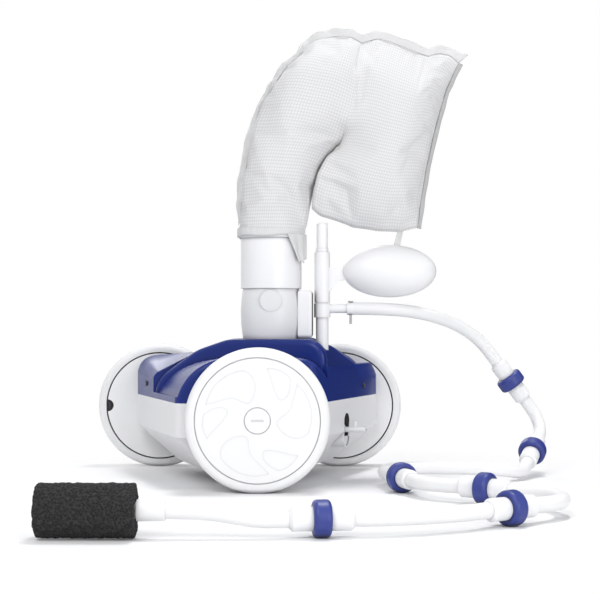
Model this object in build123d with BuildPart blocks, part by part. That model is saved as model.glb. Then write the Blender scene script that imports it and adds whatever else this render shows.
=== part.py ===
from build123d import *
import os
from math import acos, cos, hypot, pi, radians, sin, tan

os.makedirs("parts", exist_ok=True)

# Wheels
tyre_r = 89.0
tyre_w = 44.0
tyre_depth = 11.5
tyre_shoulder = 8.0
rim_r = tyre_r - tyre_depth
rim_wall = 6.5
barrel_r = rim_r - rim_wall
rim_in = -16.0
rim_face = 21.0
web_t = 4.0
cap_r = 15.9
axle_r = 5.0
bearing_r = 13.0
bearing_w = 8.0
pocket_depth = 1.0

# Layout on the floor
wheelbase = 262.0
body_w = 262.0
wheel_gap = 36.0
track = body_w + 2 * wheel_gap
bag_reach = 300.0
axle_z = tyre_r
datum_x = (wheelbase / 2 + tyre_r - bag_reach) / 2
front_axle_x = datum_x - wheelbase / 2
rear_axle_x = datum_x + wheelbase / 2

# Gear drive
gear_module = 2.5
ring_teeth = 52
pinion_teeth = 8
gear_w = 10.0
gear_in = -14.0
pressure_angle = radians(25)
backlash = 0.3
drive_centres = gear_module * (ring_teeth - pinion_teeth) / 2
shaft_x = rear_axle_x - drive_centres
single_axle_x = shaft_x - drive_centres
shaft_r = 4.0

# Body
far_front = wheelbase / 2 + 33.0
far_rear = wheelbase / 2 + 56.0
near_front = 83.0
near_rear = shaft_x - datum_x + 19.0
cut_x = shaft_x + 16.0
cut_y = 41.0
corner_r = 12.0
wall = 3.0
tub_bottom = 18.0
seam_z = 107.0
hull = 46.0
frame_t = 4.0
frame_h = 34.0
shield_r = 75.5
shield_in = -22.0
shield_t = 4.0

# Cover
cover_wall = 3.0
skirt_h = 8.0
deck_z = 187.5
crest_front = datum_x - 123.0
crest_rear = shaft_x + 33.0
crest_far = body_w * 0.23
crest_near = -body_w * 0.36
ledge_z = 165.0
ledge_fall = 8.0
ledge_r = 70.0
shoulder_y = body_w * 0.03
quarter_near = -body_w * 0.36
quarter_far = body_w * 0.115

# Water path
tower_x = shaft_x - 42.0
throat_r = 31.0
tube_low_r = 34.0
tube_r = 38.0
tube_bulge_r = 41.0
tube_top = 255.0
spigot_r = 35.8
spigot_top = 285.0
collar_r = 41.0
collar_top = 330.0
mast_x = shaft_x + 27.0
mast_r = 8.5
mast_bore = 5.5
mast_bottom = 112.0
mast_top = 309.0
nipple_r = 7.5
nipple_h = 35.0
turbine_r = 28.0
turbine_y = 64.0
nozzle_z = 228.0
hose_start_x = mast_x + 43.0
float_x = mast_x + 91.0
float_z = 278.6
float_a = 63.4
float_b = 35.4

# Sweep hose
hose_r = 8.5
hose_bore = 5.5
joiner_r = 12.0
joiner_half = 32.0
ring_r = 18.6
ring_w = 18.0
foam_r = 27.6
foam_len = 98.0
tail_r = 10.5
tail_len = 28.0
tail_core_r = 8.0

# Running gap of a shaft in its bore, and gap between moving faces
run_gap = 0.05
face_gap = 0.2


def save(piece, name):
    piece.part.label = name
    export_step(piece.part, f"parts/{name}.step")


def axle_plane(x, outward):
    """Workplane at a wheel's middle, its Z pointing out of the machine along the axle."""
    return Plane(origin=(x, outward * track / 2, axle_z), x_dir=(1, 0, 0), z_dir=(0, outward, 0))


def section(plane):
    """Half-section plane of a turned piece: X is the radius, Y runs along the plane's own Z."""
    return Plane(origin=plane.origin, x_dir=plane.x_dir, z_dir=-plane.y_dir)


def spin_axis(plane):
    return Axis(plane.origin, plane.z_dir)


def polar(radius, angle):
    return (radius * cos(angle), radius * sin(angle))


def involute(radius, base_r):
    angle = acos(base_r / radius)
    return tan(angle) - angle


def flank(radius, teeth, play):
    """Half angle of a tooth, or of a ring gear's tooth space, at a radius."""
    pitch_r = gear_module * teeth / 2
    base_r = pitch_r * cos(pressure_angle)
    half = (pi * gear_module / 2 + play) / (2 * pitch_r)
    return half + involute(pitch_r, base_r) - involute(radius, base_r)


def pinion_outline():
    pitch_r = gear_module * pinion_teeth / 2
    base_r = pitch_r * cos(pressure_angle)
    radii = (base_r + 0.1, pitch_r, pitch_r + 0.4 * gear_module, pitch_r + 0.8 * gear_module)
    root_r = pitch_r - 1.2 * gear_module
    points = []
    for tooth in range(pinion_teeth):
        centre = tooth * 2 * pi / pinion_teeth
        wide = flank(radii[0], pinion_teeth, -backlash)
        points.append(polar(root_r, centre - wide))
        for radius in radii:
            points.append(polar(radius, centre - flank(radius, pinion_teeth, -backlash)))
        for radius in reversed(radii):
            points.append(polar(radius, centre + flank(radius, pinion_teeth, -backlash)))
        points.append(polar(root_r, centre + wide))
    return points


def ring_outline():
    pitch_r = gear_module * ring_teeth / 2
    tip_r = pitch_r - 0.8 * gear_module
    root_r = pitch_r + 1.1 * gear_module
    points = []
    for space in range(ring_teeth):
        centre = space * 2 * pi / ring_teeth
        points.append(polar(tip_r, centre - flank(tip_r, ring_teeth, backlash)))
        points.append(polar(root_r, centre - flank(root_r, ring_teeth, backlash)))
        points.append(polar(root_r, centre + flank(root_r, ring_teeth, backlash)))
        points.append(polar(tip_r, centre + flank(tip_r, ring_teeth, backlash)))
    return points


def make_tyre(plane):
    with BuildPart() as piece:
        with BuildSketch(section(plane)) as cut:
            with Locations((rim_r + tyre_depth / 2, 0)):
                Rectangle(tyre_depth, tyre_w)
            fillet(cut.vertices().sort_by(Axis.X)[-2:], tyre_shoulder)
            with Locations((tyre_r, -tyre_w / 5), (tyre_r, tyre_w / 5)):
                Rectangle(2.4, 3.0, mode=Mode.SUBTRACT)
        revolve(axis=spin_axis(plane))
    return piece


# Outlines of the wheel's swirl, as radius and angle: three large pockets and three small ones
large_side = [(64, -14), (55, -23), (42, -27), (29, -21), (23.5, -6), (37.5, 15.6), (52.4, 33), (66, 43)]
large_rim = [(66, 43), (67.6, 14), (64, -14)]
small_side = [(65, 80), (50.2, 70), (38.5, 53), (37.6, 42), (45.7, 38.7), (55.6, 44), (66, 52.6)]
small_rim = [(66, 52.6), (67.5, 66), (65, 80)]


def make_wheel_disc(plane):
    """Dished disc with hub, barrel, internal ring gear and a swirl of shallow pockets."""
    floor = rim_face - web_t
    seat_top = bearing_w / 2
    with BuildPart() as piece:
        with BuildSketch(section(plane)):
            with BuildLine():
                Polyline(
                    (bearing_r, -12),
                    (bearing_r, seat_top),
                    (10, seat_top),
                    (10, floor),
                    (cap_r + 0.6, floor),
                    (cap_r + 0.6, rim_face),
                    (rim_r - 1.5, rim_face),
                    (rim_r, rim_face - 1.5),
                    (rim_r, rim_in),
                    (barrel_r, rim_in),
                    (barrel_r, floor),
                    (30, floor),
                    (19, floor - 5),
                    (19, -12),
                    close=True,
                )
            make_face()
        revolve(axis=spin_axis(plane))
        with BuildSketch(plane.offset(gear_in)):
            Circle(barrel_r + 1)
            with BuildLine():
                Polyline(*ring_outline(), close=True)
            make_face(mode=Mode.SUBTRACT)
        extrude(amount=gear_w)
        for pocket in range(3):
            turn = pocket * 2 * pi / 3
            for side_line, rim_line in ((large_side, large_rim), (small_side, small_rim)):
                with BuildSketch(plane.offset(rim_face)):
                    with BuildLine():
                        Spline(*[polar(radius, radians(angle) + turn) for radius, angle in side_line])
                        ThreePointArc(*[polar(radius, radians(angle) + turn) for radius, angle in rim_line])
                    make_face()
                extrude(amount=-pocket_depth, mode=Mode.SUBTRACT)
    return piece


def make_bearing(plane):
    bore_r = axle_r + run_gap
    half = bearing_w / 2
    with BuildPart() as piece:
        with BuildSketch(section(plane)):
            with Locations(((bore_r + bearing_r) / 2, 0)):
                Rectangle(bearing_r - bore_r, bearing_w)
            with Locations((9, half), (9, -half)):
                Rectangle(3.6, 1.2, mode=Mode.SUBTRACT)
        revolve(axis=spin_axis(plane))
    return piece


def make_hub_cap(plane):
    floor = rim_face - web_t
    with BuildPart() as piece:
        with BuildSketch(plane.offset(floor)):
            Circle(cap_r)
        extrude(amount=web_t + 0.8)
        chamfer(piece.edges().group_by(spin_axis(plane))[-1], length=1.0)
        with BuildSketch(plane.offset(rim_face + 0.8)):
            Rectangle(15, 2.6)
        extrude(amount=-1.0, mode=Mode.SUBTRACT)
    return piece


def make_axle(plane):
    reach = track / 2 - body_w / 2
    with BuildPart() as piece:
        with BuildSketch(plane.offset(-reach)):
            Circle(axle_r)
        extrude(amount=reach + bearing_w / 2 + face_gap)
        with BuildSketch(plane.offset(bearing_w / 2 + face_gap)):
            Circle(2.5)
        extrude(amount=-14, mode=Mode.SUBTRACT)
    return piece


def shield_section(plane):
    """Half-section of a round wheel shield with its post and axle sleeve."""
    reach = track / 2 - body_w / 2
    shield_out = shield_in + shield_t
    sleeve_end = -bearing_w / 2 - face_gap
    with BuildSketch(section(plane)) as half:
        with BuildLine():
            Polyline(
                (axle_r, -reach),
                (17, -reach),
                (17, shield_in - 4),
                (30, shield_in),
                (shield_r, shield_in),
                (shield_r, shield_out - 1),
                (shield_r - 1, shield_out),
                (9, shield_out),
                (9, sleeve_end),
                (axle_r, sleeve_end),
                close=True,
            )
        make_face()
    return half.sketch


single_plane = axle_plane(single_axle_x, -1)
front_plane = axle_plane(front_axle_x, 1)
rear_plane = axle_plane(rear_axle_x, 1)
wheel_planes = {"single": single_plane, "front": front_plane, "rear": rear_plane}

# Three wheels, each a tyre on a geared disc that runs on a bearing under a cap
for side, plane in wheel_planes.items():
    save(make_tyre(plane), f"{side}_tyre")
    save(make_wheel_disc(plane), f"{side}_wheel_disc")
    save(make_bearing(plane), f"{side}_bearing")
    save(make_hub_cap(plane), f"{side}_hub_cap")
    save(make_axle(plane), f"{side}_axle")

# Screw in the end of each axle
with BuildPart() as axle_screws:
    for plane in wheel_planes.values():
        with BuildSketch(plane.offset(bearing_w / 2 + face_gap)):
            Circle(2.5)
        extrude(amount=-14)
        with BuildSketch(plane.offset(bearing_w / 2 + face_gap)):
            Circle(7.5)
        extrude(amount=4)
save(axle_screws, "axle_screws")

# Frames that carry the axles on the two sides of the tub
near_y = -body_w / 2
far_y = body_w / 2
near_wall = Plane(origin=(0, near_y, 0), x_dir=(1, 0, 0), z_dir=(0, -1, 0))
far_wall = Plane(origin=(0, far_y, 0), x_dir=(-1, 0, 0), z_dir=(0, 1, 0))
near_mid_x = single_axle_x + 14
far_mid_x = (front_axle_x + rear_axle_x) / 2
near_screws = [(single_axle_x - 27, axle_z - 10), (single_axle_x - 27, axle_z + 10)]
near_screws += [(single_axle_x + 27, axle_z - 10), (single_axle_x + 27, axle_z + 10)]
far_screws = [(-shaft_x - 14, axle_z), (-shaft_x + 46, axle_z)]
far_screws += [(-front_axle_x - 101, axle_z), (-front_axle_x - 41, axle_z)]

with BuildPart() as single_side_frame:
    with BuildSketch(near_wall):
        with Locations((near_mid_x, axle_z)):
            RectangleRounded(104, frame_h, 6)
    extrude(amount=frame_t)
    revolve(shield_section(single_plane), axis=spin_axis(single_plane))
    with BuildSketch(near_wall):
        with Locations((shaft_x, axle_z)):
            Circle(7)
        with Locations(*near_screws):
            Circle(2)
        with Locations((single_axle_x, axle_z)):
            Circle(axle_r)
    extrude(amount=30, mode=Mode.SUBTRACT)
save(single_side_frame, "single_side_frame")

with BuildPart() as double_side_frame:
    with BuildSketch(far_wall):
        with Locations((-far_mid_x, axle_z)):
            RectangleRounded(wheelbase + 50, frame_h, 6)
    extrude(amount=frame_t)
    revolve(shield_section(front_plane), axis=spin_axis(front_plane))
    revolve(shield_section(rear_plane), axis=spin_axis(rear_plane))
    with BuildSketch(far_wall):
        with Locations((-shaft_x, axle_z)):
            Circle(7)
        with Locations(*far_screws):
            Circle(2)
        with Locations((-front_axle_x, axle_z), (-rear_axle_x, axle_z)):
            Circle(axle_r)
        with Locations((-front_axle_x + shield_r, axle_z)):
            Circle(8.7)
    extrude(amount=30, mode=Mode.SUBTRACT)
save(double_side_frame, "double_side_frame")

with BuildPart() as frame_screws:
    for wall_plane, places in ((near_wall, near_screws), (far_wall, far_screws)):
        with BuildSketch(wall_plane.offset(-wall)):
            with Locations(*places):
                Circle(2)
        extrude(amount=wall + frame_t)
        with BuildSketch(wall_plane.offset(frame_t)):
            with Locations(*places):
                Circle(4)
        extrude(amount=2.4)
save(frame_screws, "frame_screws")

# Body outline seen from above: narrow at the single wheel, wide at the pair
plan = [
    (datum_x - near_front, near_y),
    (cut_x, near_y),
    (datum_x + near_rear + cut_y * (far_rear - near_rear) / body_w, near_y + cut_y),
    (datum_x + far_rear, far_y),
    (datum_x - far_front, far_y),
]


def draw_plan(level, inset):
    """Plan outline of the body at a height, drawn inside its walls by the inset."""
    with BuildSketch(Plane.XY.offset(level)) as outline:
        Polygon(*plan, align=None)
        fillet(outline.vertices(), corner_r)
        if inset:
            offset(amount=-inset, mode=Mode.REPLACE)
    return outline.sketch


def slant_plane(ends, share, level):
    """Workplane on a slanted end wall, Z pointing out, Y up; share runs from the near corner."""
    (x0, y0), (x1, y1) = ends
    length = hypot(x1 - x0, y1 - y0)
    along = ((x1 - x0) / length, (y1 - y0) / length, 0)
    outward = (along[1], -along[0], 0)
    place = (x0 + share * (x1 - x0), y0 + share * (y1 - y0), level)
    return Plane(origin=place, x_dir=along, z_dir=outward)


rear_ends = ((datum_x + near_rear, near_y), plan[3])
front_ends = (plan[4], plan[0])
jet_plane = slant_plane(rear_ends, 0.443, 66)
cover_screw_planes = [slant_plane(front_ends, 0.3, seam_z + 18), slant_plane(rear_ends, 0.72, seam_z + 15)]
jet_w = 26.0
jet_h = 48.0
jet_wall = 2.0
jet_depth = 30.0
jet_pivot = -11.0
jet_pin_r = 2.0


def make_hull(inset):
    """Boat-like form of the tub: upright sides over a wide bevel, pulled in by the inset."""
    crease = tub_bottom + hull + 0.414 * inset
    with BuildSketch(Plane.XY.offset(tub_bottom + inset)) as bottom:
        Polygon(*plan, align=None)
        offset(amount=-hull - 0.414 * inset, kind=Kind.INTERSECTION, mode=Mode.REPLACE)
        fillet(bottom.vertices(), corner_r - inset)
    with BuildPart() as form:
        loft([bottom.sketch, draw_plan(crease, inset)], ruled=True)
        extrude(draw_plan(crease, inset), amount=seam_z - crease)
    return form


with BuildPart() as base_tub:
    add(make_hull(0).part)
    add(make_hull(wall).part, mode=Mode.SUBTRACT)
    with BuildSketch(Plane.XY.offset(tub_bottom)):
        with Locations((tower_x, 0)):
            Circle(tube_low_r)
    extrude(amount=wall, mode=Mode.SUBTRACT)
    for screw_plane in cover_screw_planes:
        with BuildSketch(screw_plane.offset(-cover_wall)):
            with Locations((0, -17)):
                Rectangle(16, 48)
        extrude(amount=-4)
    for wall_plane, side in ((near_wall, 1), (far_wall, -1)):
        with BuildSketch(wall_plane):
            with Locations((side * shaft_x, axle_z)):
                Circle(6.5)
        extrude(amount=-wall, mode=Mode.SUBTRACT)
    for wall_plane, places in ((near_wall, near_screws), (far_wall, far_screws)):
        with BuildSketch(wall_plane):
            with Locations(*places):
                Circle(2)
        extrude(amount=-wall, mode=Mode.SUBTRACT)
    with BuildSketch(jet_plane):
        SlotOverall(jet_h, jet_w, rotation=90)
    extrude(amount=-jet_depth, mode=Mode.SUBTRACT)
    for screw_plane in cover_screw_planes:
        with BuildSketch(screw_plane):
            Circle(1.8)
        extrude(amount=-14, mode=Mode.SUBTRACT)
save(base_tub, "base_tub")


def wall_x(ends, y):
    """X of a slanted end wall at a distance across the body."""
    (x0, y0), (x1, y1) = ends
    return x0 + (x1 - x0) * (y - y0) / (y1 - y0)


def draw_side(y, points, rounds, inset):
    """Side outline of a part of the cover at a distance across the body, pulled in by the inset."""
    low = seam_z - 25
    with BuildSketch(Plane.XZ.offset(-y)) as side:
        with BuildLine():
            Polyline((points[0][0], low), *points, (points[-1][0], low), close=True)
        make_face()
        for point, radius in zip(points, rounds):
            if radius:
                fillet(side.vertices().sort_by_distance((*point, 0))[0], radius)
        if inset:
            offset(amount=-inset, kind=Kind.INTERSECTION, mode=Mode.REPLACE)
    return side.sketch


def draw_crest(y, inset):
    """Raised middle: a long front slope, a level deck and a round rear corner."""
    points = [
        (crest_front, seam_z + 24),
        (crest_front + 59, deck_z - 14.5),
        (crest_front + 101, deck_z),
        (crest_rear, deck_z),
    ]
    return draw_side(y, points, (40, 60, 60, 27), inset)


def draw_ledge(y, inset):
    """Lower part over the single wheel, which follows the slanted front wall."""
    top = ledge_z - ledge_fall * (y - near_y) / -near_y
    points = [(wall_x(front_ends, y) - 0.5, top), (crest_rear + 3, top)]
    return draw_side(y, points, (ledge_r, 45), inset)


def draw_quarter(y, inset):
    """Rear quarter behind the mast, falling to the slanted rear wall."""
    rear = wall_x(rear_ends, y) + 0.5
    points = [(tower_x + 26, deck_z - 9), (rear - 38, deck_z - 9), (rear - 3, 152), (rear, 146)]
    return draw_side(y, points, (0, 20, 3, 0), inset)


def draw_shoulder(y, inset):
    """Part over the wheel pair: it leaves the crest's own curve and turns to a round front shoulder."""
    share = (y - shoulder_y) / (far_y - shoulder_y)
    front = wall_x(front_ends, y) - 0.5
    rear = wall_x(rear_ends, y) + 0.5
    top = deck_z - 2 + 2 * share
    points = [
        (front, seam_z + 32 + 21 * share),
        (crest_front + 59, deck_z - 16.5 - 3 * share),
        (crest_front + 101 + 14 * share, top),
        (rear - 96, top),
        (rear - 69, 175.4),
        (rear - 43, 159.5),
        (rear - 27, 146),
        (rear - 19, 152),
        (rear - 12, 151.5),
        (rear, 132),
    ]
    return draw_side(y, points, (14 + 18 * share, 50, 40, 12, 0, 0, 2.5, 3, 3, 5), inset)


crest_run = (crest_rear - crest_front, crest_near)
crest_wall = Plane(
    origin=(crest_front, 0, 0),
    x_dir=(crest_run[0], crest_run[1], 0),
    z_dir=(crest_run[1], -crest_run[0], 0),
)


def make_crest(inset):
    with BuildPart() as form:
        extrude(draw_crest(crest_far - inset, inset), amount=crest_far - crest_near + 60)
        with BuildSketch(crest_wall.offset(-inset)):
            Rectangle(900, 900)
        extrude(amount=300, mode=Mode.SUBTRACT)
        if not inset:
            edge_face = form.faces().sort_by(Axis((0, 0, 0), crest_wall.z_dir))[-1]
            fillet(edge_face.edges().group_by(Axis.Z)[1:], 8)
    return form


def make_ledge(inset):
    with BuildPart() as form:
        loft([draw_ledge(near_y + inset, inset), draw_ledge(0, inset)], ruled=True)
        if not inset:
            edge_face = form.faces().sort_by(Axis.Y)[0]
            fillet(edge_face.edges().group_by(Axis.Z)[1:], 6)
    return form


def make_quarter(inset):
    with BuildPart() as form:
        loft([draw_quarter(quarter_near, inset), draw_quarter(quarter_far - inset, inset)], ruled=True)
        with BuildSketch(crest_wall.offset(-1 - inset)):
            Rectangle(900, 900)
        extrude(amount=300, mode=Mode.SUBTRACT)
    return form


def make_cover_form(inset):
    with BuildPart() as form:
        add(make_crest(inset).part)
        add(make_ledge(inset).part)
        add(make_quarter(inset).part)
        loft([draw_shoulder(shoulder_y + inset, inset), draw_shoulder(far_y - inset, inset)], ruled=True)
        extrude(draw_plan(seam_z, inset), amount=120, mode=Mode.INTERSECT)
        extrude(draw_plan(seam_z, inset), amount=skirt_h - inset)
    return form


cover_form = make_cover_form(0)
cover_hollow = make_cover_form(cover_wall)
with BuildPart() as top_cover:
    add(cover_form.part)
    add(cover_hollow.part, mode=Mode.SUBTRACT)
    with BuildSketch(Plane.XY.offset(seam_z)):
        with Locations((tower_x, 0)):
            Circle(tube_r + 0.4)
        with Locations((mast_x, 0)):
            Circle(mast_r + 0.5)
    extrude(amount=120, mode=Mode.SUBTRACT)
    for screw_plane in cover_screw_planes:
        with BuildSketch(screw_plane):
            Circle(1.8)
        extrude(amount=-cover_wall, mode=Mode.SUBTRACT)
save(top_cover, "top_cover")

with BuildPart() as cover_screws:
    for screw_plane in cover_screw_planes:
        with BuildSketch(screw_plane):
            Circle(1.8)
        extrude(amount=-12)
        with BuildSketch(screw_plane):
            Circle(3.6)
        extrude(amount=1.6)
save(cover_screws, "cover_screws")

# Vacuum tube, its jets and the manifold beside it
tower_axis = Axis((tower_x, 0, 0), (0, 0, 1))
tower_section = Plane(origin=(tower_x, 0, 0), x_dir=(1, 0, 0), z_dir=(0, -1, 0))

with BuildPart() as vacuum_tube:
    with BuildSketch(tower_section):
        with BuildLine():
            Polyline(
                (tube_r, deck_z),
                (tube_low_r, 165),
                (tube_low_r, 14),
                (0, 14),
                (0, tube_top),
                (tube_r, tube_top),
            )
            ThreePointArc((tube_r, tube_top), (tube_bulge_r, (deck_z + tube_top) / 2), (tube_r, deck_z))
        make_face()
    revolve(axis=tower_axis)
    with BuildSketch(Plane.XY.offset(tube_top)):
        with Locations((tower_x, 0)):
            Circle(spigot_r)
    extrude(amount=spigot_top - tube_top)
    with BuildSketch(Plane.XZ.offset(tube_bulge_r + 0.6)):
        with Locations((tower_x, 238)):
            Circle(14)
    extrude(amount=-8)
    with BuildSketch(Plane.XY.offset(10)):
        with Locations((tower_x, 0)):
            Circle(throat_r)
    extrude(amount=spigot_top, mode=Mode.SUBTRACT)
save(vacuum_tube, "vacuum_tube")

with BuildPart() as jet_ring:
    with BuildSketch(Plane.XY.offset(16)):
        with Locations((tower_x, 0)):
            Circle(throat_r)
            Circle(throat_r - 3, mode=Mode.SUBTRACT)
    extrude(amount=8)
    with BuildSketch(Plane.XY.offset(20)):
        with Locations((tower_x, 0)):
            with PolarLocations(throat_r - 3, 3):
                Circle(2.8)
    extrude(amount=26)
    with BuildSketch(Plane.XY.offset(46)):
        with Locations((tower_x, 0)):
            with PolarLocations(throat_r - 3, 3):
                Circle(1.4)
    extrude(amount=-18, mode=Mode.SUBTRACT)
save(jet_ring, "jet_ring")

manifold_end = mast_x - 12.4
with BuildPart() as manifold:
    with BuildSketch(Plane.XZ.offset(20)) as manifold_side:
        with Locations(((tower_x + manifold_end) / 2, (deck_z + 253) / 2)):
            Rectangle(manifold_end - tower_x, 253 - deck_z)
        fillet(manifold_side.vertices().sort_by(Axis.X)[-2:], 7)
    extrude(amount=-40)
    fillet(manifold.edges().filter_by(Axis.Z).sort_by(Axis.X)[-2:], 6)
    with BuildSketch(Plane.XY.offset(deck_z)):
        with Locations((tower_x, 0)):
            Circle(tube_bulge_r + 0.1)
    extrude(amount=100, mode=Mode.SUBTRACT)
save(manifold, "manifold")

# Feed mast with its nipple on top and its elbow below
with BuildPart() as feed_mast:
    with BuildSketch(Plane.XY.offset(mast_bottom)):
        with Locations((mast_x, 0)):
            Circle(mast_r)
            Circle(mast_bore, mode=Mode.SUBTRACT)
    extrude(amount=mast_top - mast_bottom)
save(feed_mast, "feed_mast")

with BuildPart() as feed_nipple:
    with BuildSketch(Plane.XY.offset(mast_top)):
        with Locations((mast_x, 0)):
            Circle(nipple_r)
    extrude(amount=nipple_h)
    chamfer(feed_nipple.edges().group_by(Axis.Z)[-1], length=1.5)
    with BuildSketch(Plane.XY.offset(mast_top)):
        with Locations((mast_x, 0)):
            Circle(mast_bore)
    extrude(amount=-18)
    with BuildSketch(Plane.XY.offset(mast_top - 18)):
        with Locations((mast_x, 0)):
            Circle(mast_bore - 1.5)
    extrude(amount=nipple_h + 18, mode=Mode.SUBTRACT)
save(feed_nipple, "feed_nipple")

inlet_top = 116.0
arm_z = 124.0
pipe_r = 6.5
with BuildPart() as feed_elbow:
    with BuildSketch(Plane.XY.offset(mast_bottom - 6)):
        with Locations((mast_x, 0)):
            Circle(mast_r + 3)
    extrude(amount=28)
    with BuildSketch(Plane.XZ):
        with Locations((mast_x, arm_z)):
            Circle(pipe_r)
    extrude(amount=-turbine_y)
    with BuildSketch(Plane.XY.offset(inlet_top)):
        with Locations((mast_x, turbine_y)):
            Circle(pipe_r)
    extrude(amount=arm_z + pipe_r - inlet_top)
    with BuildSketch(Plane.XY.offset(mast_bottom)):
        with Locations((mast_x, 0)):
            Circle(mast_r)
    extrude(amount=40, mode=Mode.SUBTRACT)
save(feed_elbow, "feed_elbow")

# Sweep nozzle clamped on the mast, with the adjuster through it
nozzle_axis = Plane(origin=(mast_x, 0, nozzle_z), x_dir=(0, 1, 0), z_dir=(1, 0, 0))
adjuster_x = hose_start_x - 4.5
with BuildPart() as sweep_nozzle:
    with BuildSketch(Plane.XY.offset(nozzle_z - 12)):
        with Locations((mast_x, 0)):
            Circle(mast_r + 2.5)
    extrude(amount=19)
    with BuildSketch(nozzle_axis):
        Circle(6)
    extrude(amount=adjuster_x - mast_x)
    with BuildSketch(nozzle_axis.offset(adjuster_x - 5 - mast_x)):
        Circle(hose_r)
    extrude(amount=hose_start_x - adjuster_x + 5)
    with BuildSketch(nozzle_axis):
        Circle(3)
    extrude(amount=hose_start_x - mast_x, mode=Mode.SUBTRACT)
    with BuildSketch(Plane.XY.offset(nozzle_z - 20)):
        with Locations((mast_x, 0)):
            Circle(mast_r)
        with Locations((adjuster_x, 0)):
            Circle(2.2 + run_gap)
    extrude(amount=40, mode=Mode.SUBTRACT)
save(sweep_nozzle, "sweep_nozzle")

with BuildPart() as sweep_adjuster:
    with BuildSketch(Plane.XY.offset(nozzle_z - hose_r - face_gap)):
        with Locations((adjuster_x, 0)):
            Circle(2.2)
    extrude(amount=2 * hose_r + 2 * face_gap)
    with BuildSketch(Plane.XY.offset(nozzle_z + hose_r + face_gap)):
        with Locations((adjuster_x, 0)):
            Circle(3.6)
    extrude(amount=1.6)
    with BuildSketch(Plane.XY.offset(nozzle_z - hose_r - face_gap)):
        with Locations((adjuster_x, 0)):
            Rectangle(3.2, 12)
    extrude(amount=-12)
save(sweep_adjuster, "sweep_adjuster")

# Head float on its bracket
with BuildPart() as head_float:
    with BuildSketch(Plane.XZ):
        with Locations((float_x, float_z)):
            Ellipse(float_a, float_b)
        with Locations((float_x, float_z - 2 * float_b)):
            Rectangle(4 * float_a, 4 * float_b, mode=Mode.SUBTRACT)
    revolve(axis=Axis((float_x, 0, float_z), (1, 0, 0)))
save(head_float, "head_float")

with BuildPart() as float_bracket:
    with BuildSketch(Plane.XY.offset(nozzle_z + 8)):
        with Locations((mast_x, 0)):
            Circle(mast_r + 2)
    extrude(amount=68)
    with BuildSketch(Plane.XZ.offset(5)):
        with BuildLine():
            Polyline(
                (mast_x, 286),
                (mast_x + 12, 283),
                (mast_x + 42, float_z + 1),
                (mast_x + 42, float_z - 10),
                (mast_x + 22, float_z - 13),
                (mast_x + 11, float_z - 27),
                (mast_x, float_z - 27),
                close=True,
            )
        make_face()
    extrude(amount=-10)
    with BuildSketch(Plane.XY.offset(nozzle_z)):
        with Locations((mast_x, 0)):
            Circle(mast_r)
    extrude(amount=100, mode=Mode.SUBTRACT)
    add(head_float.part, mode=Mode.SUBTRACT)
save(float_bracket, "float_bracket")

# Turbine: drum on a foot, cover, bladed wheel, shaft, pinions and bushes
drum_near = Plane(origin=(shaft_x, turbine_y - 19, axle_z), x_dir=(1, 0, 0), z_dir=(0, 1, 0))
drum_w = 35.0
drum_wall = 3.0
drum_r = turbine_r + 5
with BuildPart() as turbine_housing:
    with BuildSketch(drum_near):
        Circle(drum_r)
    extrude(amount=drum_w)
    with BuildSketch(Plane.XY.offset(tub_bottom + wall)):
        with Locations((shaft_x, turbine_y - 1.5)):
            Rectangle(40, 24)
    extrude(amount=axle_z - tub_bottom - wall)
    with BuildSketch(Plane.XY.offset(axle_z)):
        with Locations((mast_x, turbine_y)):
            Circle(pipe_r)
    extrude(amount=inlet_top - axle_z)
    with BuildSketch(drum_near.offset(drum_wall)):
        Circle(turbine_r + 2)
    extrude(amount=drum_w, mode=Mode.SUBTRACT)
    with BuildSketch(drum_near):
        Circle(shaft_r + 1)
    extrude(amount=drum_w, mode=Mode.SUBTRACT)
    with BuildSketch(Plane.XY.offset(axle_z)):
        with Locations((mast_x, turbine_y)):
            Circle(3)
    extrude(amount=40, mode=Mode.SUBTRACT)
save(turbine_housing, "turbine_housing")

with BuildPart() as turbine_cover:
    with BuildSketch(drum_near.offset(drum_w)):
        Circle(drum_r)
        Circle(shaft_r + 1, mode=Mode.SUBTRACT)
    extrude(amount=3)
save(turbine_cover, "turbine_cover")

with BuildPart() as turbine_wheel:
    with BuildSketch(drum_near.offset(drum_wall + 3)):
        Circle(9)
        for blade in range(9):
            turn = blade * 2 * pi / 9
            root = polar(7, turn)
            bend = polar(19, turn - 0.16)
            tip = polar(turbine_r, turn + 0.1)
            back_tip = polar(turbine_r, turn + 0.18)
            back_bend = polar(19, turn - 0.06)
            back_root = polar(7, turn + 0.3)
            with BuildLine():
                ThreePointArc(root, bend, tip)
                Line(tip, back_tip)
                ThreePointArc(back_tip, back_bend, back_root)
                Line(back_root, root)
            make_face()
        Circle(shaft_r, mode=Mode.SUBTRACT)
    extrude(amount=26)
save(turbine_wheel, "turbine_wheel")

gear_reach = track / 2 + gear_in
shaft_plane = Plane(origin=(shaft_x, 0, axle_z), x_dir=(1, 0, 0), z_dir=(0, 1, 0))
with BuildPart() as drive_shaft:
    with BuildSketch(shaft_plane):
        Circle(shaft_r)
    extrude(amount=gear_reach + gear_w, both=True)
save(drive_shaft, "drive_shaft")

for side, outward in (("single", -1), ("rear", 1)):
    gear_plane = Plane(
        origin=(shaft_x, outward * (gear_reach + 0.5), axle_z), x_dir=(1, 0, 0), z_dir=(0, outward, 0)
    )
    with BuildPart() as pinion:
        with BuildSketch(gear_plane):
            with BuildLine():
                Polyline(*pinion_outline(), close=True)
            make_face()
            Circle(shaft_r, mode=Mode.SUBTRACT)
        extrude(amount=gear_w - 1)
    save(pinion, f"{side}_pinion")

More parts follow.
